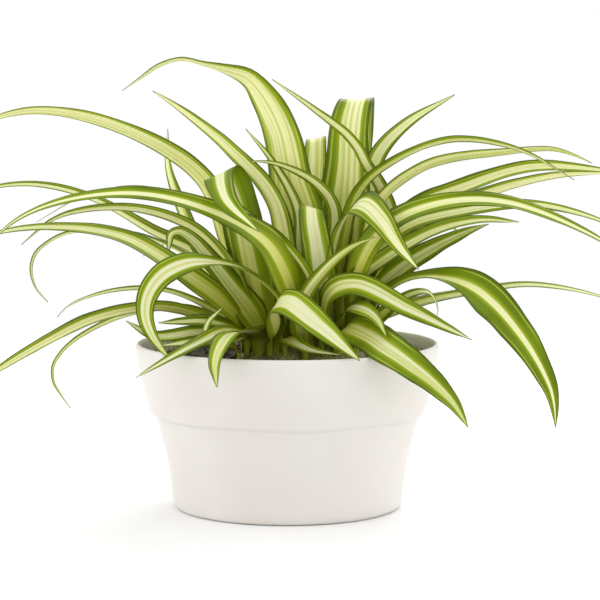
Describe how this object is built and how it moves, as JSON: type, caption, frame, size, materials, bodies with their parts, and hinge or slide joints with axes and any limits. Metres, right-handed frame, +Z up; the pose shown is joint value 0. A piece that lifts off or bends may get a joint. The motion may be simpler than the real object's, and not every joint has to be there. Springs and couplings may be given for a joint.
{
  "type": "potted spider plant",
  "caption": "Arching striped spider plant leaves growing from a rootstock in soil, in a round white pot with a plain collar; stands on a flat surface.",
  "frame": {"origin": "centre of the pot's flat underside, on the surface it stands on", "axes": "+Z up the pot's axis; -Y towards the side the plant shows best; +X to the right seen from there"},
  "size_m": [0.3718, 0.2702, 0.2366],
  "materials": {
    "pot": "satin warm white",
    "soil": "crumbly dark brown potting mix of peat and bark",
    "rootstock": "matte, pale yellow-green, fibrous",
    "leaf": "satin green margins with a cream band down the middle"
  },
  "bodies": {
    "root": {"pot": "pot", "potting_soil": "soil", "rootstock": "rootstock", "upright_leaf_1": "leaf", "upright_leaf_2": "leaf", "upright_leaf_3": "leaf", "upright_leaf_4": "leaf", "upright_leaf_5": "leaf", "upright_leaf_6": "leaf", "upright_leaf_7": "leaf", "upright_leaf_8": "leaf", "upright_leaf_9": "leaf", "folded_leaf_1": "leaf", "folded_leaf_2": "leaf", "folded_leaf_3": "leaf", "left_leaf_1": "leaf", "left_leaf_2": "leaf", "left_leaf_3": "leaf", "left_leaf_4": "leaf", "left_leaf_5": "leaf", "left_leaf_6": "leaf", "left_leaf_7": "leaf", "left_leaf_8": "leaf", "left_leaf_9": "leaf", "left_leaf_10": "leaf", "left_leaf_11": "leaf", "left_leaf_12": "leaf", "left_leaf_13": "leaf", "left_leaf_14": "leaf", "left_leaf_15": "leaf", "front_leaf_1": "leaf", "front_leaf_2": "leaf", "front_leaf_3": "leaf", "front_leaf_4": "leaf", "front_leaf_5": "leaf", "front_leaf_6": "leaf", "front_leaf_7": "leaf", "front_leaf_8": "leaf", "front_leaf_9": "leaf", "right_leaf_1": "leaf", "right_leaf_2": "leaf", "right_leaf_3": "leaf", "right_leaf_4": "leaf", "right_leaf_5": "leaf", "right_leaf_6": "leaf", "right_leaf_7": "leaf", "right_leaf_8": "leaf", "right_leaf_9": "leaf", "right_leaf_10": "leaf", "right_leaf_11": "leaf", "right_leaf_12": "leaf", "right_leaf_13": "leaf", "back_leaf_1": "leaf", "back_leaf_2": "leaf", "back_leaf_3": "leaf", "back_leaf_4": "leaf", "back_leaf_5": "leaf", "back_leaf_6": "leaf", "back_leaf_7": "leaf", "back_leaf_8": "leaf"}
  },
  "joints": []
}
